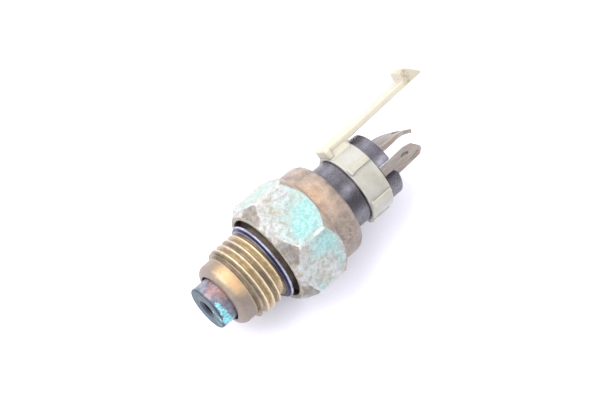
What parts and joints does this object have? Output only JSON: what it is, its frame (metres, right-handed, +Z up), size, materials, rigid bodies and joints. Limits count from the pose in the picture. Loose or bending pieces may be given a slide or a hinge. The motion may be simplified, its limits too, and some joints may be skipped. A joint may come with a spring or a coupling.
{
  "type": "plunger position switch",
  "caption": "Screw-in brass plunger switch with a hexagon, rolled collar, black head with blade terminals, and a springy latch arm that holds its plug.",
  "frame": {"origin": "centre of the part's box on the surface it lies on, under the hexagon's lower flat", "axes": "+X along the switch axis from the plunger to the terminals, +Z up"},
  "size_m": [0.064, 0.0244, 0.022],
  "materials": {
    "aged_brass": "weathered brass with pale green verdigris on the hexagon",
    "plunger_steel": "worn, with rust at the centre hole",
    "washer_steel": "dark, bright along the rim",
    "spring_steel": "satin",
    "terminal_metal": "dull tinned brass",
    "contact_copper": "satin copper",
    "contact_silver": "polished",
    "black_phenolic": "semi-gloss moulded",
    "laminate": "paper laminate",
    "cream_nylon": "translucent aged nylon",
    "rubber": "matt"
  },
  "bodies": {
    "housing": {"brass_body": "aged_brass", "return_spring": "spring_steel", "spring_seat_washer": "spring_steel", "guide_plate": "laminate", "insulating_sleeve": "laminate", "base_gasket": "rubber", "terminal_base": "black_phenolic", "terminal_near": "terminal_metal", "terminal_far": "terminal_metal", "contact_button_near": "contact_silver", "contact_button_far": "contact_silver", "latch_ring": "cream_nylon"},
    "plunger": {"plunger": "plunger_steel", "plunger_oring": "rubber", "contact_carrier": "laminate", "contact_spring": "spring_steel", "contact_bridge": "contact_copper", "bridge_clip": "spring_steel", "contact_pad_near": "contact_silver", "contact_pad_far": "contact_silver"},
    "latch_arm": {"latch_arm": "cream_nylon"},
    "sealing_washer": {"sealing_washer": "washer_steel"}
  },
  "joints": [
    {"name": "plunger_slide", "type": "slide", "parent": "housing", "child": "plunger", "axis": [1, 0, 0], "range_m": [0, 0.002], "stiffness_N_per_m": 1500, "springref_m": -0.002, "deforming": ["return_spring"]},
    {"name": "latch_arm_flex", "type": "hinge", "parent": "housing", "child": "latch_arm", "pos_m": [0.0112, 0.00738, 0.01598], "axis": [0, 0.5592, -0.829], "range_deg": [-2, 8], "stiffness_Nm_per_rad": 0.06},
    {"name": "washer_float", "type": "slide", "parent": "housing", "child": "sealing_washer", "axis": [1, 0, 0], "range_m": [0, 0.0022]}
  ]
}
